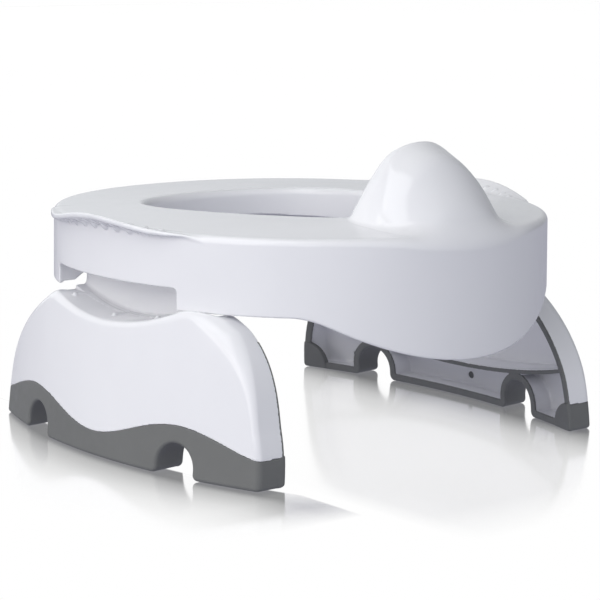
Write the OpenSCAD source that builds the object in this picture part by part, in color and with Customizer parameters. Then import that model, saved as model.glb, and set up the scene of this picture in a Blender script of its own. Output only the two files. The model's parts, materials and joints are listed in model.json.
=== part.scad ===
// Folding travel potty: a seat ring with a splash guard on two hinged, hollow D-shaped legs.
// The legs stand under the seat, fold in flat beneath it, or open out flat to sit on a toilet rim.
// Millimetres. +Z is up, the splash guard faces -Y, and the origin is on the floor
// under the middle of the seat. Right and left are a seated child's, so right is -X.

/* [Seat] */
// Height of the seat top above the floor
seat_h = 130; // [128:0.5:132]
// Width of the seat ring without its two ears
seat_w = 279; // [276:1:282]
// Length of the seat in front of the middle of the legs
seat_front = 155; // [150:1:160]
// Length of the seat behind the middle of the legs
seat_rear = 144; // [140:1:150]
// Depth of the skirt along the sides and the back
skirt_d = 42; // [40:0.5:42.5]
// Depth of the skirt at the middle of the front
front_d = 68; // [60:1:72]
// Thickness of the seat's walls
seat_wall = 2.6; // [2:0.1:3]

/* [Hole] */
// Width of the hole
hole_w = 144; // [138:1:146]
// How far the widest place of the hole lies behind the middle of the legs
hole_y = 30; // [25:1:35]
// Length of the hole behind its widest place
hole_rear = 62; // [58:1:64]
// Length of the hole in front of its widest place
hole_front = 137; // [132:1:138]
// Depth of the wall that hangs from the edge of the hole
funnel_d = 17; // [12:0.5:17]

/* [Splash guard] */
// Height of the splash guard above the seat top
guard_h = 47; // [35:1:55]
// Radius of the splash guard at its foot
guard_r = 46.5; // [42:0.5:50]

/* [Ears] */
// How far each ear stands out past the seat ring
ear_out = 8.7; // [6:0.1:10]
// How far the lip of each ear turns up above the seat top
ear_up = 4.8; // [3.5:0.1:6]

/* [Legs] */
// Width of the stance over the outside of both legs, at the floor
stance_w = 297; // [296:0.5:298]
// Length of each leg at the floor
leg_l = 248.8; // [240:0.5:250]
// How far the legs lean in towards the top, in degrees
lean = 5.71; // [5:0.1:6.5]
// Depth of each leg from its outer face to its open inner side
leg_depth = 21.7; // [20:0.1:22.5]
// Thickness of the leg's walls
leg_wall = 3; // [2.6:0.1:3.4]
// Width of the arched notches in the foot of each leg
notch_w = 26.6; // [22:0.2:30]
// Height of the arched notches
notch_h = 20.5; // [17:0.5:22]
// Distance of each notch from the middle of the leg
notch_y = 67.1; // [64:0.1:70]

/* [Soft grips] */
// Thickness of the soft layer over the leg's skin
grip_t = 1.3; // [1:0.1:1.5]
// Depth of the soft rim around the leg's open side
rim_t = 2.5; // [2:0.1:3]
// Height of the soft band where it is lowest, at the middle of the leg
band_low = 14; // [10:1:16]
// Height of the soft band where it is highest, above the notches
band_high = 28; // [26:1:32]

/* [Hinges] */
// Distance of each hinge axis from the middle of the seat
hinge_x = 115; // [114.6:0.1:115.4]
// Height of the hinge axes above the floor
hinge_z = 103; // [102.6:0.1:103.4]
// Radius of the leg's hinge barrel
barrel_r = 5.2; // [5:0.1:5.4]
// Diameter of the steel hinge pins
pin_d = 4; // [3:0.1:4.4]
// Radial play of the pins in the leg's barrel
pin_play = 0.05; // [0.02:0.01:0.1]
// Depth of the flats on the barrel that the detent spring drops into
flat_d = 0.4; // [0.2:0.05:0.6]

/* [Hidden] */
$fn = 64;
big = 400;                                    // larger than anything it cuts
overlap = 1;                                  // joined solids and cuts run this far past each other
mid_y = (seat_front - seat_rear) / 2;         // puts the middle of the seat at the origin
skirt_z = seat_h - skirt_d;                   // bottom edge of the skirt
deck_t = 3;                                   // thickness of the seat top
deck_z = seat_h - deck_t;                     // underside of the seat top
funnel_z = seat_h - funnel_d;                 // bottom edge of the wall round the hole
front_rise = 12;                              // the funnel's front end stops this far below the top
guard_y = -(seat_front - guard_r);            // axis of the splash guard's dome
guard_n = 1.5;                                // exponent of the dome's profile
hole_n_front = 1.75;                          // exponents of the hole's outline
hole_n_rear = 2.3;
ear_in = 7.5;                                 // each ear's slope starts this far inside the seat's edge
ear_slope = atan2(ear_up, ear_out + ear_in);
ear_t = 3.2;                                  // thickness of the ears
ear_r = 114;                                  // plan radius of each ear's lip
ear_root = 22;                                // each ear reaches this far in over the seat
ear_half = 70;                                // half length of each ear
lip_x = seat_w / 2 + ear_out;                 // place of the lip at the middle of the ear
tooth_r = 1.2;                                // radius of the small teeth under the lips
tooth_l = 5;
tooth_turn = 4.5;                             // angle between two teeth, about the lip's centre
dot_r = 2.6;                                  // radius of the grip dots on the ears
dot_up = 0.9;                                 // height of the dots
dot_in = 8;                                   // distance of the dots from the lip
dot_turn = 5.6;                               // angle between two dots
dip_half = 88;                                // half width of the dip in the front skirt
dip_rise = front_d - skirt_d;                 // depth of that dip below the rest of the skirt
dip_r = (pow(dip_half, 2) + pow(dip_rise, 2)) / (2 * dip_rise);
neck_half = 56.5;                             // half length of the leg's neck and barrel
neck_gap = 1;                                 // end play between the neck and the hinge lugs
lug_y = neck_half + neck_gap;                 // inner face of the hinge lugs
lug_t = 3;                                    // thickness of the hinge lugs
lug_r = 9;                                    // material round the pin holes
skirt_notch_h = 12;                           // height of the notch for the neck in the skirt
skirt_notch_r = 3;                            // radius of the notch's corners
swing_gap = 1;                                // gap between the open leg and the skirt
shoulder_r = 20.8;                            // the leg's shoulders stay outside this radius
outer_n = (stance_w / 2 - hinge_x - hinge_z * tan(lean)) * cos(lean);
outer_r = 352;                                // plan radius of the leg's outer face
inner_n = outer_n - leg_depth;
inner_r = 424;                                // plan radius of the leg's open side
leg_s = (hinge_z + outer_n * sin(lean)) / cos(lean);
leg_h = 101.6;                                // height of the leg's D outline
leg_n = 2.24;                                 // exponent of the D outline
foot_down = 8;                                // the D outline runs on below the floor by this
neck_in = 7.2;                                // inner face of the neck, inside the hinge axis
neck_out = 4;                                 // outer face of the neck, inside the hinge axis
rib_low = 22;                                 // height of the inner shelf at the middle
rib_high = 36;                                // and at its ends
rib_half = 107;                               // half length of the inner shelf
rib_t = 2;                                    // thickness of the inner shelf
open_reach = 10;                              // the hollow is drawn this far past the open side
rib_arc = (pow(rib_half, 2) + pow(rib_high - rib_low, 2)) / (2 * (rib_high - rib_low));
band_wave = 140;                              // distance between the two crests of the band
band_half = leg_l / 2 + 5;                    // the band is drawn this far from the leg's middle
pad_r = 15;                                   // radius of the soft corner pads
pad_in = 2;                                   // their centres lie this far inside the corners
plug_r = 2.3;                                 // radius of the soft plugs through the outer wall
plug_y = 97;                                  // one plug sits this far from the leg's middle
plug_z = 9.5;                                 // height of the plugs above the floor
rim_top = 26;                                 // the soft rim ends this far down the leg
neck_reach = 45;                              // the neck runs this far down inside the leg
flat_gap = 1;                                 // the flats run this far past the spring's edges
spring_play = 0.05;                           // gap between the lifted spring and the barrel
pin_in = 47;                                  // inner end of each pin
pin_out = 63;                                 // outer end of each pin
nut_r = 4.2;                                  // radius of the push-on nuts
nut_t = 1.4;                                  // thickness of the push-on nuts
spring_t = 0.6;                               // thickness of the detent springs
spring_w = 12;                                // width of the detent springs
spring_z = 111.8;                             // top of the spring's flat part
spring_x = 129;                               // place of the spring's screw
spring_foot = 100;                            // lower end of the spring's finger
screw_r = 1.3;                                // radius of the spring screws
screw_head_r = 2.8;
screw_head_t = 1.8;
screw_top = 120;                              // upper end of the spring screws
slot_l = 3.2;                                 // cross slot in the screw heads
slot_w = 0.8;
slot_d = 0.9;
boss_r = 5;                                   // radius of the bosses the springs are screwed to

// Closed outline with half width a and its own length and exponent in front and behind.
function oval(a, front, rear, n_front = 2, n_rear = 2, steps = 96) = [
    for (i = [0:steps - 1])
        let (t = 360 * i / steps, b = sin(t) < 0 ? front : rear, n = sin(t) < 0 ? n_front : n_rear)
        [a * sign(cos(t)) * pow(abs(cos(t)), 2 / n), b * sign(sin(t)) * pow(abs(sin(t)), 2 / n)]];

// Outline of the seat, grown by g.
function seat_outline(g = 0) = oval(seat_w / 2 + g, seat_front + g, seat_rear + g);

// Profile of the splash guard's dome with foot radius r and height h.
function dome_profile(r, h, steps = 14) = [
    for (i = [0:steps])
        let (t = 90 * i / steps)
        [r * pow(cos(t), 2 / guard_n), h * pow(sin(t), 2 / guard_n)]];

// D outline of a leg in (y, height along the leg), drawn in by i on its curve.
function leg_outline(i = 0, steps = 36) = concat(
    [[leg_l / 2 - i, -foot_down]],
    [for (k = [0:steps])
        let (t = 180 * k / steps)
        [(leg_l / 2 - i) * cos(t), (leg_h - i) * pow(abs(sin(t)), 2 / leg_n)]],
    [[-(leg_l / 2 - i), -foot_down]]);

// Height of the soft band's upper edge at y.
function band_z(y) =
    (band_high + band_low) / 2 - (band_high - band_low) / 2 * cos(360 * y / band_wave);

// Puts the middle of the seat over the origin.
module placed() {
    translate([0, mid_y, 0])
        children();
}

// Turns a left leg or its parts into the right one: both come from the same mould.
module turned() {
    rotate([0, 0, 180])
        children();
}

// Draws something on both sides of the seat.
module both_sides() {
    children();
    mirror([1, 0, 0])
        children();
}

// Draws something at the front and at the rear end of a hinge.
module both_ends() {
    children();
    mirror([0, 1, 0])
        children();
}

// Extrudes a (y, z) outline along x, centred.
module along_x(length) {
    rotate([90, 0, 90])
        linear_extrude(length, center = true)
            children();
}

// A bar along y from y0 to y1.
module bar_y(r, y0, y1) {
    translate([0, y1, 0])
        rotate([90, 0, 0])
            cylinder(r = r, h = y1 - y0);
}

// Frame of the left leg: origin on the hinge axis, x out of its outer face, -z down the leg.
module leg_frame() {
    translate([hinge_x, 0, hinge_z])
        rotate([0, -lean, 0])
            children();
}

// ---------------------------------------------------------------- seat

module hole_prism(g, z0, z1) {
    translate([0, hole_y, z0])
        linear_extrude(z1 - z0)
            polygon(oval(hole_w / 2 + g, hole_front + g, hole_rear + g,
                         hole_n_front, hole_n_rear, 72));
}

module dome(g) {
    translate([0, guard_y, seat_h - deck_t])
        rotate_extrude($fn = 96)
            polygon(concat([[0, 0]], dome_profile(guard_r - g, guard_h + deck_t - g)));
}

// Everything the skirt may fill: down to skirt_z, and lower in the dip at the front.
module skirt_zone() {
    translate([-big / 2, -big / 2, skirt_z])
        cube([big, big, big]);
    intersection() {
        translate([-big / 2, -big, 0])
            cube([big, big, skirt_z + overlap]);
        translate([0, 0, seat_h - front_d + dip_r])
            rotate([90, 0, 0])
                cylinder(r = dip_r, h = big, $fn = 180);
    }
}

// Inside of the seat: under the top, behind the skirt and inside the splash guard.
module seat_inside() {
    difference() {
        union() {
            linear_extrude(deck_z)
                polygon(seat_outline(-seat_wall));
            dome(deck_t);
        }
        hole_prism(seat_wall, funnel_z, seat_h + guard_h + deck_t);
    }
    translate([0, guard_y, seat_h - front_rise - big / 2])
        cube([2 * guard_r, 2 * front_rise, big], center = true);
}

// Height of an ear's top face at x.
function ear_z(x) = seat_h + ear_up - (lip_x - x) * tan(ear_slope);

// Puts something on the left ear's top face, turned about the lip's centre and inset from the lip.
module on_ear(turn, inset) {
    x = lip_x - ear_r + (ear_r - inset) * cos(turn);
    translate([x, (ear_r - inset) * sin(turn), ear_z(x)])
        rotate([0, 0, turn])
            children();
}

module ear() {
    intersection() {
        translate([lip_x - ear_r, 0, 0])
            cylinder(r = ear_r, h = big, $fn = 180);
        translate([lip_x, 0, seat_h + ear_up])
            rotate([0, -ear_slope, 0])
                translate([-ear_root, -ear_half, -ear_t])
                    cube([2 * ear_root, 2 * ear_half, ear_t]);
    }
    // small teeth under the lip
    for (k = [-6:6])
        on_ear(tooth_turn * k, tooth_l + 1)
            translate([0, 0, -ear_t])
                rotate([0, 90 - ear_slope, 0])
                    cylinder(r = tooth_r, h = tooth_l, $fn = 24);
    // grip dots on top
    for (k = [-4.5:4.5])
        on_ear(dot_turn * k, dot_in)
            translate([0, 0, dot_up - dot_r])
                sphere(r = dot_r, $fn = 32);
}

// Lugs that hold the hinge pins, at both ends of the notch in the skirt.
module hinge_lugs() {
    both_ends()
        intersection() {
            linear_extrude(seat_h)
                polygon(seat_outline(-seat_wall / 2));
            translate([0, lug_y + lug_t, 0])
                rotate([90, 0, 0])
                    linear_extrude(lug_t)
                        polygon([[hinge_x - lug_r, deck_z + overlap],
                                 [hinge_x - lug_r, hinge_z - lug_r / 2],
                                 [hinge_x - lug_r / 3, hinge_z - lug_r],
                                 [hinge_x + lug_r, skirt_z + overlap],
                                 [hinge_x + 2 * lug_r, skirt_z + overlap],
                                 [hinge_x + 2 * lug_r, deck_z + overlap]]);
        }
}

// Boss under the seat top that the detent spring is screwed to.
module spring_boss() {
    translate([spring_x, 0, spring_z])
        cylinder(r = boss_r, h = deck_z + overlap - spring_z);
}

// Notch in the skirt that the leg's neck comes out through.
module skirt_notch() {
    corner_y = lug_y - skirt_notch_r;
    corner_z = skirt_z + skirt_notch_h - skirt_notch_r;
    translate([seat_w / 2, 0, 0])
        along_x(seat_w - 2 * hinge_x) {
            translate([-lug_y, skirt_z - overlap])
                square([2 * lug_y, corner_z - skirt_z + overlap]);
            translate([-corner_y, skirt_z])
                square([2 * corner_y, skirt_notch_h]);
            for (y = [-corner_y, corner_y])
                translate([y, corner_z])
                    circle(r = skirt_notch_r, $fn = 32);
        }
}

module seat_body() {
    color("white")
        placed()
            difference() {
                union() {
                    difference() {
                        intersection() {
                            union() {
                                linear_extrude(seat_h)
                                    polygon(seat_outline());
                                dome(0);
                            }
                            skirt_zone();
                        }
                        seat_inside();
                        both_sides()
                            skirt_notch();
                    }
                    both_sides() {
                        ear();
                        hinge_lugs();
                        spring_boss();
                    }
                }
                hole_prism(0, 0, seat_h + guard_h + deck_t);
                both_sides() {
                    translate([hinge_x, 0, hinge_z])
                        both_ends()
                            bar_y(pin_d / 2, lug_y - overlap, lug_y + lug_t + overlap);
                    translate([spring_x, 0, spring_z - overlap])
                        cylinder(r = screw_r, h = screw_top - spring_z + overlap);
                }
            }
}

// ---------------------------------------------------------------- legs

// The leg as a solid block, drawn in by i on every outside face, open side pushed out by reach.
module leg_block(i, reach = 0) {
    difference() {
        intersection() {
            leg_frame()
                intersection() {
                    translate([0, 0, -leg_s])
                        along_x(3 * leg_depth)
                            polygon(leg_outline(i));
                    translate([outer_n - outer_r, 0, -leg_s / 2])
                        cylinder(r = outer_r - i, h = 2 * leg_s, center = true, $fn = 180);
                }
            translate([0, -big / 2, i])
                cube([big, big, big]);
        }
        leg_frame() {
            translate([inner_n - inner_r - reach, 0, -leg_s / 2])
                cylinder(r = inner_r, h = 3 * leg_s, center = true, $fn = 180);
            // room for the seat when the leg is open
            seat_prism(swing_gap + i);
            // room for the skirt beside its notch while the leg swings
            both_ends()
                bar_y(shoulder_r + i, lug_y - i, leg_l / 2);
        }
        for (y = [-notch_y, notch_y])
            translate([hinge_x, y, notch_h - notch_w / 2])
                rotate([0, 90, 0])
                    cylinder(r = notch_w / 2 + i, h = big, center = true);
        for (y = [-notch_y, notch_y])
            translate([hinge_x - big / 2, y - notch_w / 2 - i, -overlap])
                cube([big, notch_w + 2 * i, overlap + notch_h - notch_w / 2]);
    }
}

// Shelf across the inside of the leg.
module leg_shelf() {
    intersection() {
        leg_block(leg_wall / 2);
        leg_frame()
            translate([0, 0, rib_low + rib_arc - leg_s])
                rotate([0, 90, 0])
                    difference() {
                        cylinder(r = rib_arc, h = big, center = true, $fn = 180);
                        cylinder(r = rib_arc - rib_t, h = big + overlap, center = true, $fn = 180);
                    }
    }
}

// The seat's edge as it meets the open leg, grown by g, as a prism through the leg. Its front and
// rear are alike, so that one leg fits both sides.
module seat_prism(g) {
    translate([0, 0, hinge_x])
        along_x(4 * leg_depth)
            polygon([for (p = oval(seat_w / 2 + g, seat_front + g, seat_front + g)) [p[1], -p[0]]]);
}

// Neck that joins the leg to its hinge barrel, and the ledge under the seat's edge.
module leg_neck() {
    leg_frame()
        difference() {
            union() {
                intersection() {
                    seat_prism(swing_gap + leg_wall);
                    translate([0, neck_half, 0])
                        rotate([90, 0, 0])
                            linear_extrude(2 * neck_half)
                                polygon([[-neck_in, 0], [0, 0], [-neck_out, -2 * barrel_r],
                                         [-neck_out, -neck_reach], [-neck_in, -neck_reach]]);
                }
                difference() {
                    intersection() {
                        seat_prism(swing_gap + leg_wall);
                        translate([-neck_in, -neck_half, -neck_reach])
                            cube([neck_in + leg_wall, 2 * neck_half, neck_reach]);
                    }
                    seat_prism(swing_gap);
                }
                bar_y(barrel_r, -neck_half, neck_half);
            }
            both_ends()
                bar_y(pin_d / 2 + pin_play, pin_in - overlap, neck_half + overlap);
            // flats for the detent spring: standing, folded and open
            for (turn = [0, 90 + lean, lean - 90])
                rotate([0, lean - turn, 0])
                    translate([barrel_r - flat_d, -spring_w / 2 - flat_gap, -barrel_r])
                        cube([barrel_r, spring_w + 2 * flat_gap, 2 * barrel_r]);
        }
}

module leg_shell() {
    difference() {
        leg_block(0);
        leg_block(leg_wall, open_reach);
    }
    leg_shelf();
}

// Layer of depth rim_t along the open side of the leg.
module rim_zone() {
    leg_frame()
        intersection() {
            translate([inner_n - inner_r, 0, -leg_s / 2])
                cylinder(r = inner_r + rim_t, h = 3 * leg_s, center = true, $fn = 180);
            difference() {
                translate([-big / 2, -big / 2, -rim_top - big])
                    cube([big, big, big]);
                seat_prism(swing_gap + leg_wall + overlap);
            }
        }
}

// Everything soft: the skin below the wavy line, the rim of the open side and the plugs.
module soft_zone() {
    difference() {
        translate([hinge_x, 0, 0])
            along_x(big)
                polygon(concat([[-band_half, -overlap]],
                               [for (k = [-30:30]) [k * band_half / 30, band_z(k * band_half / 30)]],
                               [[band_half, -overlap]]));
        leg_block(grip_t, open_reach);
    }
    rim_zone();
    for (y = [0, plug_y])
        translate([hinge_x, y, plug_z])
            rotate([0, 90, 0])
                cylinder(r = plug_r, h = big);
}

module left_leg() {
    difference() {
        leg_shell();
        soft_zone();
    }
    leg_neck();
}

module left_grip() {
    intersection() {
        leg_shell();
        soft_zone();
    }
    // pads in the lower corners of the open side
    intersection() {
        leg_block(leg_wall / 2);
        rim_zone();
        for (s = [-1, 1])
            translate([hinge_x, s * (leg_l / 2 - pad_in), pad_in])
                rotate([0, 90, 0])
                    cylinder(r = pad_r, h = big, center = true);
    }
}

module leg_left() {
    color("white")
        placed()
            left_leg();
}

module leg_right() {
    color("white")
        placed()
            turned()
                left_leg();
}

module leg_grip_left() {
    color("dimgray")
        placed()
            left_grip();
}

module leg_grip_right() {
    color("dimgray")
        placed()
            turned()
                left_grip();
}

// ---------------------------------------------------------------- hinge hardware

// Steel pin at one end of the left hinge: pressed through the lug, free in the barrel.
module hinge_pin() {
    translate([hinge_x, 0, hinge_z])
        bar_y(pin_d / 2, pin_in, pin_out);
}

module hinge_pin_rear_left() {
    color("silver")
        placed()
            hinge_pin();
}

module hinge_pin_front_left() {
    color("silver")
        placed()
            mirror([0, 1, 0])
                hinge_pin();
}

module hinge_pin_rear_right() {
    color("silver")
        placed()
            mirror([1, 0, 0])
                hinge_pin();
}

module hinge_pin_front_right() {
    color("silver")
        placed()
            turned()
                hinge_pin();
}

// Push-on nut at the outer end of each pin.
module pin_push_nuts() {
    color("gray")
        placed()
            both_sides()
                both_ends()
                    translate([hinge_x, 0, hinge_z])
                        difference() {
                            bar_y(nut_r, lug_y + lug_t, lug_y + lug_t + nut_t);
                            bar_y(pin_d / 2, lug_y, lug_y + lug_t + nut_t + overlap);
                        }
}

// Leaf spring that drops onto the barrel's flats. It is drawn lifted, riding on the barrel's round.
module detent_spring() {
    finger_x = hinge_x + barrel_r + spring_play;
    difference() {
        union() {
            translate([finger_x, -spring_w / 2, spring_z - spring_t])
                cube([spring_x + boss_r - finger_x, spring_w, spring_t]);
            translate([finger_x, -spring_w / 2, spring_foot])
                cube([spring_t, spring_w, spring_z - spring_foot]);
        }
        translate([spring_x, 0, spring_z - spring_t - overlap])
            cylinder(r = screw_r, h = spring_t + 2 * overlap);
    }
}

module detent_spring_left() {
    color("lightgray")
        placed()
            detent_spring();
}

module detent_spring_right() {
    color("lightgray")
        placed()
            turned()
                detent_spring();
}

// Pan-head screws that hold the two detent springs.
module spring_screws() {
    color("silver")
        placed()
            both_sides()
                translate([spring_x, 0, spring_z - spring_t]) {
                    cylinder(r = screw_r, h = screw_top - spring_z);
                    translate([0, 0, -screw_head_t])
                        difference() {
                            cylinder(r = screw_head_r, h = screw_head_t);
                            for (a = [0, 90])
                                rotate([0, 0, a])
                                    translate([-slot_l / 2, -slot_w / 2, -overlap])
                                        cube([slot_l, slot_w, overlap + slot_d]);
                        }
                }
}

seat_body();
leg_right();
leg_left();
leg_grip_right();
leg_grip_left();
hinge_pin_front_right();
hinge_pin_rear_right();
hinge_pin_front_left();
hinge_pin_rear_left();
pin_push_nuts();
detent_spring_right();
detent_spring_left();
spring_screws();
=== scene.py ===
"""A folding travel potty: moulded shells, soft grips and steel hinges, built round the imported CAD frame.

The shells are drawn as distance fields in millimetres, meshed on a grid, drawn onto the exact surface
and given their exact normals. x and y are measured from the middle of the two legs.
"""

import json
import math

import bpy
import numpy as np
from mathutils import Matrix, Vector


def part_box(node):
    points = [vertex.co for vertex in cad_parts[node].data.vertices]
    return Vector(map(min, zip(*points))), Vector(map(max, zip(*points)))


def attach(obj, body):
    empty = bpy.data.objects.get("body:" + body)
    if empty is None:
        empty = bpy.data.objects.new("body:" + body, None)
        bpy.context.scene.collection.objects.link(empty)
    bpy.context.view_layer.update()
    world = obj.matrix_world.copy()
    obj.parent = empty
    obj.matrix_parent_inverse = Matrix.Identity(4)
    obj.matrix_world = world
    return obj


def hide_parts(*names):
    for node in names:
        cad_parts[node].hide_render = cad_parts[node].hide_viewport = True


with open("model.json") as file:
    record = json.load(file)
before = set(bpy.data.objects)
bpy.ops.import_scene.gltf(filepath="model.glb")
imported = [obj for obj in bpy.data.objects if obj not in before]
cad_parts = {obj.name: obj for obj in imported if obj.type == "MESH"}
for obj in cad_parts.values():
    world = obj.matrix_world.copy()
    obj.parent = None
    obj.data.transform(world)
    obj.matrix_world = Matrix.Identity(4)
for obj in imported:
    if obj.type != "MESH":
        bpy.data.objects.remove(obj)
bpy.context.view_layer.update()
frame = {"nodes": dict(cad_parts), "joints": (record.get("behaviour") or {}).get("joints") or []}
MM = 0.001

# ------------------------------------------------------------------ sizes: the main ones from the frame, the rest given here


def box_mm(node):
    low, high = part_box(node)
    return np.array(low) / MM, np.array(high) / MM


hinge_joint = next(j for j in frame["joints"] if j["name"] == "left_leg_fold")
HINGE_X, MID_Y, HINGE_Z = np.array(hinge_joint["pos_m"]) / MM
seat_low, seat_high = box_mm("seat_body")
leg_low, leg_high = box_mm("leg_left")
grip_low, grip_high = box_mm("leg_grip_left")

LIP_X = seat_high[0]  # lip of the ears
PEAK = seat_high[2]  # top of the splash guard
DIP_Z = seat_low[2]  # lowest point of the front skirt
FRONT = MID_Y - seat_low[1]
REAR = seat_high[1] - MID_Y
STANCE = grip_high[0]  # outer face of a leg at the floor
LEG_HALF = (grip_high[1] - grip_low[1]) / 2

# seat
GUARD_H = 47.0
TOP = PEAK - GUARD_H
SKIRT_Z = TOP - 42.0
HALF_W = LIP_X - 8.7
WALL = 2.6
DECK = 3.0
DRAFT = 0.012
EDGE_R = 3.6

# leg
LEAN = math.radians(5.71)
COS, SIN = math.cos(LEAN), math.sin(LEAN)
LEG_WALL = 3.0
OUTER_R, INNER_R = 352.0, 424.0
OUTER_N = (STANCE - HINGE_X - HINGE_Z * SIN / COS) * COS
INNER_N = OUTER_N - 21.7
LEG_S = (HINGE_Z + OUTER_N * SIN) / COS
LEG_H = 101.6
NECK_HALF = 56.5

# ------------------------------------------------------------------ fields


def both(a, b, r):
    """Inside both a and b, with the edge between them rounded to radius r."""
    return np.minimum(-r, np.maximum(a, b)) + np.hypot(
        np.maximum(a + r, 0), np.maximum(b + r, 0)
    )


def either(a, b, r):
    """Inside a or b, with a fillet of radius r."""
    return -both(-a, -b, r)


def less(a, b, r):
    """Inside a and outside b."""
    return both(a, -b, r)


def oval(x, y, a, b, e):
    """A superellipse of exponent e, in the quarter where x and y are above 0."""
    u, v = x / a, y / b
    rho = (u**e + v**e) ** (1 / e) + 1e-6
    slope = np.hypot(u ** (e - 1) / a, v ** (e - 1) / b) * rho ** (1 - e)
    return (rho - 1) / (slope + 1e-6)


def seat_side(ax, y):
    """The seat's outline: an ellipse in front, a little fuller behind."""
    return np.where(y < 0, oval(ax, -y * (y < 0), HALF_W, FRONT, 2.0), oval(ax, y * (y > 0), HALF_W, REAR, 2.12))


def egg(x, y):
    """The hole: widest near the back, drawn out towards the splash guard."""
    a, b, t, middle = 67.36, 99.5, -0.66, -7.5
    v = (y - middle) / b
    k = np.maximum(1 + t * v, 0.05)
    q = np.sqrt(x * x * k / (a * a) + v * v) + 1e-6
    gx = x * k / (a * a)
    gy = (x * x * t / (2 * a * a) + v) / b
    return (q - 1) * q / (np.hypot(gx, gy) + 1e-6)


def guard(x, y, z):
    """The splash guard's mound: oval sections that shrink upwards, under a gently sloping cap."""
    h = np.clip(z - TOP, -15.0, 60.0)
    w = np.maximum(44 - 0.27 * h - 0.0066 * h * h, 8)
    dw = -0.27 - 0.0132 * h
    d = y + 111.0
    front = d < 0
    k = np.where(front, np.maximum(44 - 0.77 * h, 5), 39.6 - 0.55 * h)
    dk = np.where(front, -0.77, -0.55)
    q = np.hypot(x / w, d / k) + 0.02
    gx, gy = x / (w * w * q), d / (k * k * q)
    gz = -(x * x * dw / w**3 + d * d * dk / k**3) / q
    main = (q - 1.02) / (np.sqrt(gx * gx + gy * gy + gz * gz) + 1e-3)
    back = np.maximum(-108 - y, 0)
    cap = z - (PEAK - 0.466 * back - x * x / 56)
    cap = cap / np.sqrt(1.2 + (x / 28) ** 2)
    return both(main, cap, 2.0)


def seat_field(x, y, z):
    ax = np.abs(x)
    side = seat_side(ax, y)
    mound = guard(ax, y, z)
    hole = egg(ax, y)
    # the deck rises from its rim to the hole, more so towards the front
    share = np.maximum(-side, 0) / (np.maximum(-side, 0) + np.maximum(hole, 0) + 1)
    top = TOP + 0.033 * (58 - y) * share
    side = side - DRAFT * (TOP - z)
    foot = 1.8 + 4.2 * np.clip((-118 - y) / 20, 0, 1)
    edge = EDGE_R + 9 * np.exp(-((x / 34) ** 2)) * (y < 0)
    body = both(side, either(z - top, mound, foot), edge)
    # ears, highest in the middle
    radius = np.where(y < 0, 114.0, 128.0)
    lip = np.hypot(ax - LIP_X + radius, y) - radius
    end = np.clip((np.abs(y) - np.where(y < 0, 60.0, 74.0)) / 14, 0, 2)
    reach = np.where(y < 0, 140.0, 120.0)
    rise = 6.8 * np.cos(np.clip(y / reach, -0.5, 0.5) * math.pi) ** 2
    plane = (z - TOP + 1.5 + 4 * end * end - (rise + 1.5) * np.clip(1 + lip / 16, 0, 1.05)) * 0.93
    thick = np.where(y < 0, 2.9 * np.clip((72 + y) / 28, 0.05, 1) ** 0.7, 3.2)
    ear = both(both(lip, plane, 1.3), -(plane + thick), 1.0)
    ear = np.maximum(ear, -20 - lip)
    body = either(body, ear, 0.8 + 1.4 * np.clip((TOP + 0.5 - z) / 2, 0, 1))
    # small teeth under the lips and dots on top
    tooth = np.clip(np.round(y / 8.2), -6, 6) * 8.2
    along = np.maximum(np.abs(lip + 4.6) - 2.0, 0)
    teeth = np.sqrt((y - tooth) ** 2 + (plane + thick) ** 2 + along**2) - 0.7
    body = either(body, teeth, 0.5)
    turn = np.arctan2(y, ax - LIP_X + 114)
    step = math.radians(5.6)
    dot = (np.clip(np.floor(turn / step), -5, 4) + 0.5) * step
    dots = np.sqrt((106 * np.sin(turn - dot)) ** 2 + (lip + 8) ** 2 + (plane + 2.0) ** 2) - 3.0
    body = either(body, dots, 0.5)
    # hole
    body = less(body, hole, 2.8 + 1.7 * np.clip(y / 60, 0, 1))
    # hollow underside
    inner = both(side + WALL, either(z - top + DECK, mound + DECK, 4.0), edge - 1)
    low = TOP - 18.5 + 1.1 * np.clip((y - 76) / 10, 0, 1) + 5 * np.clip((-90 - y) / 10, 0, 1)
    funnel = np.maximum(hole - WALL, low - z)
    inner = less(inner, funnel, 1.2)
    body = less(body, inner, 0.7)
    # lower edge, with the dip at the front
    rise = SKIRT_Z - DIP_Z
    dip_r = (88.0**2 + rise**2) / (2 * rise)
    arc = DIP_Z + dip_r - np.sqrt(np.maximum(dip_r**2 - ax * ax, 1))
    arc = np.where(y < 0, arc, SKIRT_Z + 50)
    h = np.maximum(5 - np.abs(arc - SKIRT_Z), 0) / 5
    low = np.minimum(arc, SKIRT_Z) - h * h * 5 / 4
    body = both(body, (low - z) / 1.1, 0.9)
    # notches that the necks of the legs come out through
    notch = both(np.abs(y) - NECK_HALF - 1, z - SKIRT_Z - 12, 3.0)
    body = less(body, np.maximum(notch, 110 - ax), 0.7)
    # hinge lugs and spring bosses, under the seat
    under = np.interp(
        ax, [HINGE_X - 9, HINGE_X - 3, HINGE_X + 4], [HINGE_Z - 4.5, HINGE_Z - 9.5, SKIRT_Z + 1]
    )
    lug = both(np.abs(np.abs(y) - NECK_HALF - 2.5) - 1.5, HINGE_X - 9 - ax, 0.8)
    lug = both(lug, np.maximum(under - z, z - TOP + 2), 0.8)
    body = either(body, np.maximum(lug, side + 1.2), 0.8)
    boss = both(np.hypot(ax - 129, y) - 5, HINGE_Z + 8.8 - z, 0.6)
    return either(body, np.maximum(boss, z - TOP + 2), 0.8)


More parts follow.
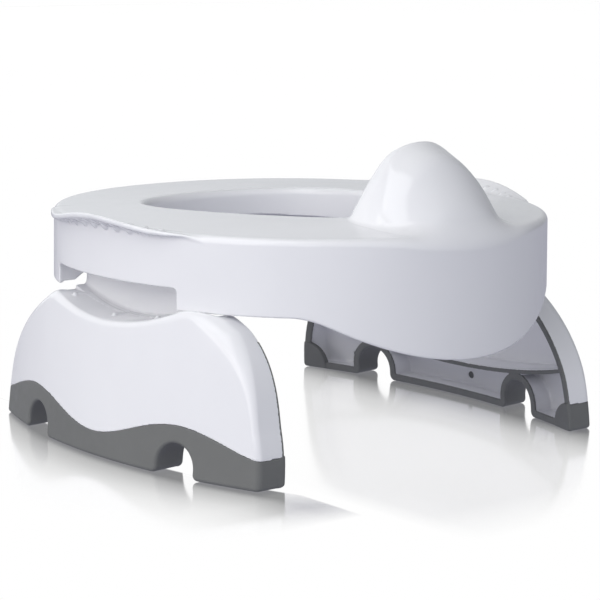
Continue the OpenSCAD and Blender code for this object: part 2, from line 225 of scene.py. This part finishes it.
def leg_parts(n, y, s):
    """Fields of the left leg in its own frame: n out of its outer face, -s down the leg."""
    z = HINGE_Z + n * SIN + s * COS
    ay = np.abs(y)
    # the D leans towards one end as it rises
    ahead = 12.0 * np.clip((z - 30) / 44, 0, 1.15) ** 1.5
    outline = oval(np.abs(y - ahead), np.maximum(s + LEG_S, 0), LEG_HALF, LEG_H, 2.36)
    outer = np.hypot(n - (OUTER_N - OUTER_R), y) - OUTER_R
    inner = INNER_R - np.hypot(n - (INNER_N - INNER_R), y)
    # the arches narrow a little towards the outer face
    far = np.clip((n + 5) / 25, 0, 1)
    arch = np.hypot(np.abs(y - 2.8 * far) - 67.1, np.maximum(z - 7.2 + 3.0 * far, 0)) - 13.3
    seat = oval(np.maximum(HINGE_X - s, 0), ay, HALF_W, FRONT, 2.0) - 1 - 0.13 * np.maximum(n + 4, 0)
    skirt = HALF_W * np.sqrt(np.maximum(1 - (y / FRONT) ** 2, 0)) - HINGE_X
    relief = np.hypot(np.maximum(skirt, 0), HINGE_Z - SKIRT_Z) + 0.7
    shoulder = np.maximum(np.hypot(n, s) - relief, NECK_HALF + 1 - ay)
    near = np.maximum(seat, 0) / (np.maximum(seat, 0) + np.maximum(-outline, 0) + 0.5)
    soften = 2.8 + 7.5 * near * np.clip((z - 35) / 45, 0, 1) ** 2
    block = both(less(outline, seat, 8.0), outer, soften)
    block = both(block, both(-z, -arch, 3.5), 2.2)
    block = less(block, shoulder, 2.0)
    hollow = both(less(outline + LEG_WALL, seat - LEG_WALL, 7.0), outer + LEG_WALL, soften - 0.3)
    hollow = both(hollow, LEG_WALL - z, 2.0)
    hollow = both(hollow, LEG_WALL - arch, 2.0)
    hollow = both(hollow, LEG_WALL - shoulder, 2.0)
    shell = less(both(block, inner, 0.9), hollow, 0.8)
    # shelf across the inside
    rib_r = (107.0**2 + 14.0**2) / 28
    rib = np.abs(np.hypot(y, s + LEG_S - 22 - rib_r) - rib_r + 1) - 1.3
    rib = both(np.maximum(rib, block + 1.5), inner, 0.4)
    shell = either(shell, rib, 1.5)
    # soft layer: the skin below a wavy line, the rim of the open side and two plugs
    wave = (z - 21 + 7 * np.cos(2 * math.pi * y / 140)) / 1.03
    soft = np.maximum(wave, -(block + 1.3))
    rim = np.maximum(np.maximum(-(inner + 0.8), s + 27.2), LEG_WALL + 2 - seat)
    soft = np.minimum(soft, rim)
    plug_y = np.where(y > 48, 97.0, 0.0)
    plug = np.maximum(np.hypot(y - plug_y, z - 9.5) - 2.3, -n)
    soft = np.minimum(soft, plug)
    # a soft bead round the edge of the open side
    bead = less(both(block, inner, 0.8), hollow + 1.4, 0.5)
    bead = np.maximum(np.maximum(bead, -(inner + 1.5)), np.maximum(s + 27.2, LEG_WALL + 2 - seat))
    # soft pads in the lower corners
    pad = both(np.hypot(ay - LEG_HALF + 2, z - 2) - 15, -(inner + 2.5), 0.6)
    pad = both(np.maximum(pad, block + 0.1), inner - 1.0, 0.9)
    # neck, ledge and hinge barrel
    top = np.interp(s, [-10.4, 0], [-4.0, 0.0])
    neck = both(-7.2 - n, n - top, 0.8)
    neck = np.maximum(np.maximum(neck, s), -45 - s)
    ledge = np.maximum(np.maximum(-seat, -7.2 - n), n - 3)
    neck = either(neck, ledge, 1.5)
    neck = both(np.maximum(neck, seat - LEG_WALL), ay - NECK_HALF, 0.7)
    barrel = both(np.hypot(n, s) - 5.2, ay - NECK_HALF, 0.5)
    for along_n, along_s in ((COS, -SIN), (0, 1)):
        barrel = np.maximum(barrel, np.minimum(n * along_n + s * along_s - 4.8, 7 - ay))
    neck = either(neck, barrel, 1.2)
    neck = less(neck, np.maximum(np.hypot(n, s) - 2.05, 46 - ay), 0.2)
    # room for the detent spring when the leg is a wing
    room = np.maximum(np.maximum(s + 4.9, -20 - s), np.maximum(-3.4 - n, ay - 7.2))
    neck = less(neck, room, 0.4)
    # three small ribs with round ends, across the ledge under the seat's edge
    mark = np.clip(np.round((y + 4) / 41), -1, 1) * 41 - 4
    bump = np.sqrt((y - mark) ** 2 + seat**2 + np.maximum(n - 10, 0) ** 2) - 0.9
    bump = np.maximum(bump, 0.5 - n)
    nub = np.sqrt((y - mark) ** 2 + seat**2 + (n - 10.5) ** 2) - 1.5
    bump = either(bump, nub, 0.6)
    return shell, soft, np.minimum(pad, bead), neck, bump


def shell_field(n, y, s):
    shell, soft, pad, neck, bump = leg_parts(n, y, s)
    white = less(shell, soft, 0.35)
    white = either(white, neck, 1.0)
    return either(white, bump, 0.6)


def grip_field(n, y, s):
    shell, soft, pad, neck, bump = leg_parts(n, y, s)
    grey = both(shell, soft, 0.35)
    return either(grey, pad, 0.5)


# ------------------------------------------------------------------ meshing

EDGES = [
    (a, b)
    for a in np.ndindex(2, 2, 2)
    for b in np.ndindex(2, 2, 2)
    if a < b and sum(abs(p - q) for p, q in zip(a, b)) == 1
]


def sample(field, low, high, step, mirrored):
    """The field on a regular grid. A mirrored field is only worked out for x above 0."""
    count = [int(math.ceil((h - l) / step)) + 1 for l, h in zip(low, high)]
    if mirrored:
        count[0] += count[0] % 2
        low = (-step * (count[0] - 1) / 2, low[1], low[2])
    axes = [np.float32(l) + np.float32(step) * np.arange(c, dtype=np.float32) for l, c in zip(low, count)]
    first = count[0] // 2 if mirrored else 0
    values = np.empty(count, np.float32)
    for i in range(first, count[0], 16):
        j = min(i + 16, count[0])
        values[i:j] = field(axes[0][i:j, None, None], axes[1][None, :, None], axes[2][None, None, :])
    if mirrored:
        values[:first] = values[first:][::-1]
    return values, np.array(low, float)


def net(values, low, step):
    """One vertex in every cell the surface crosses, and a face round every crossed grid edge."""
    inside = values < 0
    count = np.zeros([n - 1 for n in values.shape], np.uint8)
    for c in np.ndindex(2, 2, 2):
        count += inside[tuple(slice(o, n - 1 + o) for o, n in zip(c, values.shape))]
    cells = np.argwhere((count > 0) & (count < 8))
    total = np.zeros((len(cells), 3))
    hits = np.zeros(len(cells))
    corner = {}
    for c in np.ndindex(2, 2, 2):
        p = cells + c
        corner[c] = values[p[:, 0], p[:, 1], p[:, 2]]
    for a, b in EDGES:
        fa, fb = corner[a], corner[b]
        crossed = (fa < 0) != (fb < 0)
        t = np.where(crossed, fa / np.where(fa == fb, 1, fa - fb), 0)
        point = np.array(a) + t[:, None] * (np.array(b) - np.array(a))
        total += np.where(crossed[:, None], point, 0)
        hits += crossed
    points = low + step * (cells + total / hits[:, None])
    index = np.full(count.shape, -1, np.int32)
    index[cells[:, 0], cells[:, 1], cells[:, 2]] = np.arange(len(cells))
    faces = []
    for axis in range(3):
        a, b = (axis + 1) % 3, (axis + 2) % 3
        here = [slice(None)] * 3
        here[axis] = slice(0, -1)
        there = list(here)
        there[axis] = slice(1, None)
        first, second = inside[tuple(here)], inside[tuple(there)]
        at = np.argwhere(first != second)
        at = at[
            (at[:, a] > 0) & (at[:, b] > 0)
            & (at[:, a] < values.shape[a] - 1) & (at[:, b] < values.shape[b] - 1)
        ]
        rising = first[at[:, 0], at[:, 1], at[:, 2]]
        ring = []
        for da, db in ((-1, -1), (0, -1), (0, 0), (-1, 0)):
            q = at.copy()
            q[:, a] += da
            q[:, b] += db
            ring.append(index[q[:, 0], q[:, 1], q[:, 2]])
        ring = np.stack(ring, 1)
        faces.append(np.where(rising[:, None], ring, ring[:, ::-1]))
    return points, np.concatenate(faces)


def slope_of(field, p, reach):
    """The field at points p, and its gradient."""
    x, y, z = p[:, 0], p[:, 1], p[:, 2]
    g = np.stack(
        [
            field(x + reach, y, z) - field(x - reach, y, z),
            field(x, y + reach, z) - field(x, y - reach, z),
            field(x, y, z + reach) - field(x, y, z - reach),
        ],
        1,
    ) / (2 * reach)
    return field(x, y, z), g


def settle(field, p, rounds, limit):
    """Moves points onto the surface, along the gradient."""
    for _ in range(rounds):
        f, g = slope_of(field, p, 0.05)
        size = np.maximum((g * g).sum(1), 0.05)
        move = np.clip(f / size, -limit, limit)
        p = p - move[:, None] * g
    return p


def relax(p, faces):
    """Each point moves half way to the middle of its neighbours."""
    a = faces.ravel()
    total = np.zeros_like(p)
    hits = np.bincount(a, minlength=len(p)) * 2
    for shift in (1, 3):
        b = np.roll(faces, shift, 1).ravel()
        for k in range(3):
            total[:, k] += np.bincount(a, weights=p[b, k], minlength=len(p))
    return p + 0.5 * (total / hits[:, None] - p)


def make_mesh(name, points, faces):
    mesh = bpy.data.meshes.new(name)
    mesh.vertices.add(len(points))
    mesh.vertices.foreach_set("co", np.asarray(points, np.float32).ravel())
    mesh.loops.add(faces.size)
    mesh.loops.foreach_set("vertex_index", faces.ravel().astype(np.int32))
    mesh.polygons.add(len(faces))
    mesh.polygons.foreach_set("loop_start", np.arange(len(faces), dtype=np.int32) * faces.shape[1])
    mesh.update(calc_edges=True)
    mesh.validate()
    return mesh


def mesh_points(mesh):
    p = np.empty(len(mesh.vertices) * 3, np.float32)
    mesh.vertices.foreach_get("co", p)
    return p.reshape(-1, 3).astype(float)


def solid(name, field, low, high, step, place, faces_wanted, mirrored=False):
    """A piece meshed from its field. place turns field millimetres into frame metres."""
    values, low = sample(field, low, high, step, mirrored)
    points, faces = net(values, low, step)
    points = settle(field, points, 2, step / 2)
    points = settle(field, relax(points, faces), 2, step / 2)
    mesh = make_mesh(name, points, faces)
    piece = bpy.data.objects.new(name, mesh)
    bpy.context.scene.collection.objects.link(piece)
    if faces_wanted < 2 * len(faces):
        thin = piece.modifiers.new("thin", "DECIMATE")
        thin.ratio = faces_wanted / (2 * len(faces))
        graph = bpy.context.evaluated_depsgraph_get()
        lighter = bpy.data.meshes.new_from_object(piece.evaluated_get(graph))
        piece.modifiers.clear()
        piece.data = lighter
        bpy.data.meshes.remove(mesh)
        lighter.name = name
        points = settle(field, mesh_points(lighter), 1, step / 4)
    mesh = piece.data
    _, g = slope_of(field, points, 0.04)
    normals = g / np.maximum(np.linalg.norm(g, axis=1), 1e-6)[:, None]
    placed, turned = place(points, normals)
    mesh.vertices.foreach_set("co", placed.astype(np.float32).ravel())
    mesh.polygons.foreach_set("use_smooth", np.ones(len(mesh.polygons), bool))
    mesh.update()
    mesh.normals_split_custom_set_from_vertices(turned.astype(np.float32))
    return piece


def seat_place(p, normals):
    return (p + [0, MID_Y, 0]) * MM, normals


def leg_place(p, normals):
    def turn(v):
        return np.stack([v[:, 0] * COS - v[:, 2] * SIN, v[:, 1], v[:, 0] * SIN + v[:, 2] * COS], 1)

    return (turn(p) + [HINGE_X, MID_Y, HINGE_Z]) * MM, turn(normals)


def turned_copy(piece, name):
    """The same piece turned half a turn about the seat's middle, for the other side."""
    mesh = piece.data.copy()
    mesh.name = name
    points = mesh_points(mesh)
    points = np.stack([-points[:, 0], 2 * MID_Y * MM - points[:, 1], points[:, 2]], 1)
    normals = np.empty(len(mesh.vertices) * 3, np.float32)
    corner = np.empty(len(mesh.loops) * 3, np.float32)
    index = np.empty(len(mesh.loops), np.int32)
    mesh.corner_normals.foreach_get("vector", corner)
    mesh.loops.foreach_get("vertex_index", index)
    normals = normals.reshape(-1, 3)
    normals[index] = corner.reshape(-1, 3) * [-1, -1, 1]
    mesh.vertices.foreach_set("co", points.astype(np.float32).ravel())
    mesh.update()
    mesh.normals_split_custom_set_from_vertices(normals)
    other = bpy.data.objects.new(name, mesh)
    bpy.context.scene.collection.objects.link(other)
    return other


# ------------------------------------------------------------------ pieces

coarse = 1.0
seat = solid(
    "seat_shell", seat_field, (-151, -159, 58.63), (151, 149, 180), coarse, seat_place, 190000, True
)
leg_box = ((-22, -128, -109), (26, 128, 8))
leg = solid("leg_shell_left", shell_field, *leg_box, 0.8 * coarse, leg_place, 150000)
grip = solid("leg_soft_grip_left", grip_field, *leg_box, 0.65 * coarse, leg_place, 90000)
leg_2 = turned_copy(leg, "leg_shell_right")
grip_2 = turned_copy(grip, "leg_soft_grip_right")

# ------------------------------------------------------------------ materials


def socket(node, name, value):
    node.inputs[name].default_value = value


def material(name):
    m = bpy.data.materials.new(name)
    m.use_nodes = True
    nodes, links = m.node_tree.nodes, m.node_tree.links
    nodes.clear()
    out = nodes.new("ShaderNodeOutputMaterial")
    shader = nodes.new("ShaderNodeBsdfPrincipled")
    links.new(shader.outputs[0], out.inputs[0])
    where = nodes.new("ShaderNodeTexCoord")
    return m, nodes, links, shader, where.outputs["Object"]


def noise(nodes, links, place, scale, detail=2.0, rough=0.5):
    n = nodes.new("ShaderNodeTexNoise")
    socket(n, "Scale", scale)
    socket(n, "Detail", detail)
    socket(n, "Roughness", rough)
    links.new(place, n.inputs["Vector"])
    return n.outputs[0]


def spread(nodes, links, value, low, high):
    m = nodes.new("ShaderNodeMapRange")
    socket(m, "From Min", 0.3)
    socket(m, "From Max", 0.7)
    socket(m, "To Min", low)
    socket(m, "To Max", high)
    links.new(value, m.inputs["Value"])
    return m.outputs[0]


def blend_colour(nodes, links, factor, a, b):
    m = nodes.new("ShaderNodeMix")
    m.data_type = "RGBA"
    links.new(factor, m.inputs["Factor"])
    m.inputs[6].default_value = (*a, 1)
    m.inputs[7].default_value = (*b, 1)
    return m.outputs[2]


def bump(nodes, links, value, distance, strength=1.0):
    b = nodes.new("ShaderNodeBump")
    socket(b, "Strength", strength)
    socket(b, "Distance", distance)
    links.new(value, b.inputs["Height"])
    return b.outputs[0]


def gloss_white():
    m, nodes, links, shader, place = material("white_plastic")
    cloud = noise(nodes, links, place, 18, 3)
    links.new(
        blend_colour(nodes, links, cloud, (0.80, 0.80, 0.825), (0.845, 0.845, 0.865)),
        shader.inputs["Base Color"],
    )
    links.new(
        spread(nodes, links, noise(nodes, links, place, 60, 4), 0.07, 0.12),
        shader.inputs["Roughness"],
    )
    socket(shader, "IOR", 1.47)
    links.new(bump(nodes, links, noise(nodes, links, place, 900, 2), 0.00001), shader.inputs["Normal"])
    return m


def soft_grey():
    m, nodes, links, shader, place = material("grey_soft_grip")
    cloud = noise(nodes, links, place, 40, 3)
    links.new(
        blend_colour(nodes, links, cloud, (0.14, 0.143, 0.14), (0.165, 0.168, 0.164)),
        shader.inputs["Base Color"],
    )
    links.new(
        spread(nodes, links, noise(nodes, links, place, 150, 4), 0.5, 0.62),
        shader.inputs["Roughness"],
    )
    socket(shader, "IOR", 1.45)
    grain = noise(nodes, links, place, 2600, 3, 0.6)
    links.new(bump(nodes, links, grain, 0.00003, 0.8), shader.inputs["Normal"])
    return m


def brushed_steel(name, tint, low, high):
    m, nodes, links, shader, place = material(name)
    stretch = nodes.new("ShaderNodeMapping")
    stretch.inputs["Scale"].default_value = (1, 0.06, 1)
    links.new(place, stretch.inputs["Vector"])
    grain = noise(nodes, links, stretch.outputs[0], 3000, 4)
    links.new(
        blend_colour(nodes, links, grain, tuple(0.86 * c for c in tint), tint),
        shader.inputs["Base Color"],
    )
    socket(shader, "Metallic", 1.0)
    links.new(spread(nodes, links, grain, low, high), shader.inputs["Roughness"])
    links.new(bump(nodes, links, grain, 0.000008), shader.inputs["Normal"])
    return m


white, grey = gloss_white(), soft_grey()
pin_steel = brushed_steel("pin_steel_finish", (0.62, 0.62, 0.63), 0.22, 0.34)
spring_steel = brushed_steel("spring_steel_finish", (0.5, 0.5, 0.52), 0.28, 0.42)

for piece, finish, slot, body, node in (
    (seat, white, "white_shell", "seat", "seat_body"),
    (leg, white, "white_shell", "left_leg", "leg_left"),
    (leg_2, white, "white_shell", "right_leg", "leg_right"),
    (grip, grey, "soft_grip", "left_leg", "leg_grip_left"),
    (grip_2, grey, "soft_grip", "right_leg", "leg_grip_right"),
):
    piece.data.materials.clear()
    piece.data.materials.append(finish)
    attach(piece, body)
    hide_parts(node)

for name, node in frame["nodes"].items():
    if "pin" in name or "screws" in name or "spring" in name:
        finish = spring_steel if "detent" in name else pin_steel
        node.data.materials.clear()
        node.data.materials.append(finish)

# ------------------------------------------------------------------ floor, light and camera


def plane(name, size, z):
    points = np.array([[-size, -size, z], [size, -size, z], [size, size, z], [-size, size, z]])
    obj = bpy.data.objects.new(name, make_mesh(name, points, np.array([[0, 1, 2, 3]])))
    bpy.context.scene.collection.objects.link(obj)
    return obj


def node_material(name):
    m = bpy.data.materials.new(name)
    m.use_nodes = True
    m.node_tree.nodes.clear()
    return m, m.node_tree.nodes, m.node_tree.links


# The floor mirrors the object softly. A clear sheet just above it marks the rays that come from it,
# so that the floor sees a plain white room while the plastic sees the softer studio.
floor = plane("floor", 6, -0.0003)
m, nodes, links = node_material("floor_white")
out = nodes.new("ShaderNodeOutputMaterial")
mix = nodes.new("ShaderNodeMixShader")
glow = nodes.new("ShaderNodeEmission")
mirror = nodes.new("ShaderNodeBsdfGlossy")
socket(glow, "Color", (1, 1, 1, 1))
ray = nodes.new("ShaderNodeLightPath")


def maths(tree, op, a, b):
    n = tree.nodes.new("ShaderNodeMath")
    n.operation = op
    for i, v in enumerate((a, b)):
        if isinstance(v, (int, float)):
            n.inputs[i].default_value = v
        else:
            tree.links.new(v, n.inputs[i])
    return n.outputs[0]


FLOOR = 0.40
camera_ray = ray.outputs["Is Camera Ray"]
brighter = maths(m.node_tree, "MULTIPLY", camera_ray, 1.0 - FLOOR)
links.new(maths(m.node_tree, "ADD", brighter, FLOOR), glow.inputs["Strength"])
links.new(blend_colour(nodes, links, camera_ray, (0.93, 0.94, 1.12), (1, 1, 1)), glow.inputs["Color"])


def curve(tree, value, low, high, stops):
    """A colour ramp over value, from low to high, that reads as a number."""
    n = tree.nodes.new("ShaderNodeValToRGB")
    scaled = maths(tree, "DIVIDE", maths(tree, "SUBTRACT", value, low), high - low)
    tree.links.new(scaled, n.inputs["Fac"])
    ends = n.color_ramp.elements
    for x, y in stops:
        stop = ends.new((x - low) / (high - low))
        stop.color = (y, y, y, 1)
    ends[0].color = (stops[0][1],) * 3 + (1,)
    ends[-1].color = (stops[-1][1],) * 3 + (1,)
    return n.outputs[0]


# painted reflection: the floor's mirror share is a mask laid out by position on the floor, strong where a leg
# touches the floor and fading towards the camera, with a weaker patch under the seat towards the far leg
tree = m.node_tree
where = nodes.new("ShaderNodeTexCoord")
split = nodes.new("ShaderNodeSeparateXYZ")
links.new(where.outputs["Object"], split.inputs[0])
floor_x, floor_y = split.outputs[0], split.outputs[1]
bulge = maths(tree, "MINIMUM", maths(tree, "ABSOLUTE", floor_y, 0), 0.135)
bulge = maths(tree, "DIVIDE", maths(tree, "MULTIPLY", bulge, bulge), 2 * OUTER_R * MM)
before = maths(tree, "SUBTRACT", maths(tree, "SUBTRACT", bulge, floor_x), STANCE * MM)
near = curve(
    tree, before, -0.02, 0.1,
    ((-0.014, 0), (-0.012, 0.82), (0.0, 0.82), (0.008, 0.62), (0.019, 0.46), (0.03, 0.31),
     (0.043, 0.2), (0.06, 0.11), (0.075, 0.05), (0.09, 0)),
)
near = maths(tree, "MULTIPLY", near, curve(tree, floor_y, -0.2, -0.14, ((-0.185, 0), (-0.155, 1))))
far = curve(
    tree, floor_x, -0.12, 0.13,
    ((-0.1, 0), (-0.082, 0.19), (-0.06, 0.21), (0.02, 0.25), (0.05, 0.27), (0.075, 0.37),
     (0.087, 0.47), (0.1, 0.65), (0.115, 0.88)),
)
far = maths(tree, "MULTIPLY", far, curve(tree, floor_y, -0.27, -0.19, ((-0.255, 0), (-0.205, 1))))
painted_reflection_share = maths(tree, "MAXIMUM", near, far)
# the painted reflection mask sets how much of the floor is mirror and how much is plain white glow
links.new(maths(m.node_tree, "MULTIPLY", camera_ray, painted_reflection_share), mix.inputs["Fac"])
socket(mirror, "Roughness", 0.12)
socket(mirror, "Color", (1, 1, 1, 1))
links.new(glow.outputs[0], mix.inputs[1])
links.new(mirror.outputs[0], mix.inputs[2])
links.new(mix.outputs[0], out.inputs[0])
floor.data.materials.append(m)
sheet = plane("floor_sheet", 6, -0.0001)
m, nodes, links = node_material("clear_sheet")
out = nodes.new("ShaderNodeOutputMaterial")
clear = nodes.new("ShaderNodeBsdfTransparent")
links.new(clear.outputs[0], out.inputs[0])
sheet.data.materials.append(m)

world = bpy.data.worlds.new("studio")
bpy.context.scene.world = world
world.use_nodes = True
nodes, links = world.node_tree.nodes, world.node_tree.links
nodes.clear()
out = nodes.new("ShaderNodeOutputWorld")
room = nodes.new("ShaderNodeBackground")
path = nodes.new("ShaderNodeLightPath")
links.new(room.outputs[0], out.inputs[0])


# the studio: bright in front and behind, darker at the sides, and plain white behind the camera's view
tree = world.node_tree
from_floor = maths(tree, "GREATER_THAN", path.outputs["Transparent Depth"], 0.5)
plain = maths(tree, "MAXIMUM", path.outputs["Is Camera Ray"], from_floor)
where = nodes.new("ShaderNodeTexCoord")
split = nodes.new("ShaderNodeSeparateXYZ")
links.new(where.outputs["Generated"], split.inputs[0])
sides = maths(tree, "POWER", maths(tree, "ABSOLUTE", split.outputs[1], 0), 1.5)
above = maths(tree, "MULTIPLY", maths(tree, "MAXIMUM", split.outputs[2], 0), 0.11)
soft = maths(tree, "ADD", maths(tree, "MULTIPLY", sides, 1.07), above)
seen = nodes.new("ShaderNodeMix")
seen.data_type = "FLOAT"
links.new(plain, seen.inputs[0])
links.new(soft, seen.inputs[2])
seen.inputs[3].default_value = 1.0
links.new(seen.outputs[0], room.inputs["Strength"])
tint = blend_colour(nodes, links, plain, (0.94, 0.965, 1.0), (1, 1, 1))
links.new(tint, room.inputs["Color"])


def area(name, place, target, size, power, colour=(1, 1, 1)):
    light = bpy.data.lights.new(name, "AREA")
    light.shape = "RECTANGLE"
    light.size, light.size_y = size
    light.energy = power
    light.color = colour
    lamp = bpy.data.objects.new(name, light)
    bpy.context.scene.collection.objects.link(lamp)
    lamp.location = place
    lamp.rotation_mode = "QUATERNION"
    lamp.rotation_quaternion = (Vector(target) - Vector(place)).to_track_quat("-Z", "Y")
    return lamp


area("left_softbox", (-1.7, 0.0, 0.55), (0, 0, 0.08), (1.5, 1.1), 7.3, (1, 0.98, 0.93))
area("front_softbox", (-1.5, -0.8, 0.6), (0, 0, 0.08), (1.2, 1.1), 3.0, (0.84, 0.88, 1))
area("top_softbox", (-0.9, -0.1, 1.4), (0, 0, 0.08), (1.1, 1.1), 5.2, (0.98, 0.99, 1))

azimuth, elevation, roll = (math.radians(a) for a in (-39.0, 9.66, 0.44))
right = Vector((math.cos(azimuth), math.sin(azimuth), 0))
back = Vector(
    (
        math.sin(azimuth) * math.cos(elevation),
        -math.cos(azimuth) * math.cos(elevation),
        math.sin(elevation),
    )
)
up = back.cross(right)
right, up = (
    right * math.cos(roll) + up * math.sin(roll),
    up * math.cos(roll) - right * math.sin(roll),
)
camera_data = bpy.data.cameras.new("camera")
camera_data.sensor_width = 36
camera_data.lens = 2186.3 * 36 / 600
camera_data.clip_start, camera_data.clip_end = 0.05, 50
camera = bpy.data.objects.new("camera", camera_data)
bpy.context.scene.collection.objects.link(camera)
camera.matrix_world = Matrix(
    (
        (right.x, up.x, back.x, -0.80822),
        (right.y, up.y, back.y, -1.00133 + MID_Y * MM),
        (right.z, up.z, back.z, 0.29196),
        (0, 0, 0, 1),
    )
)
bpy.context.scene.camera = camera
bpy.context.scene.view_settings.view_transform = "Standard"
bpy.context.scene.view_settings.look = "None"
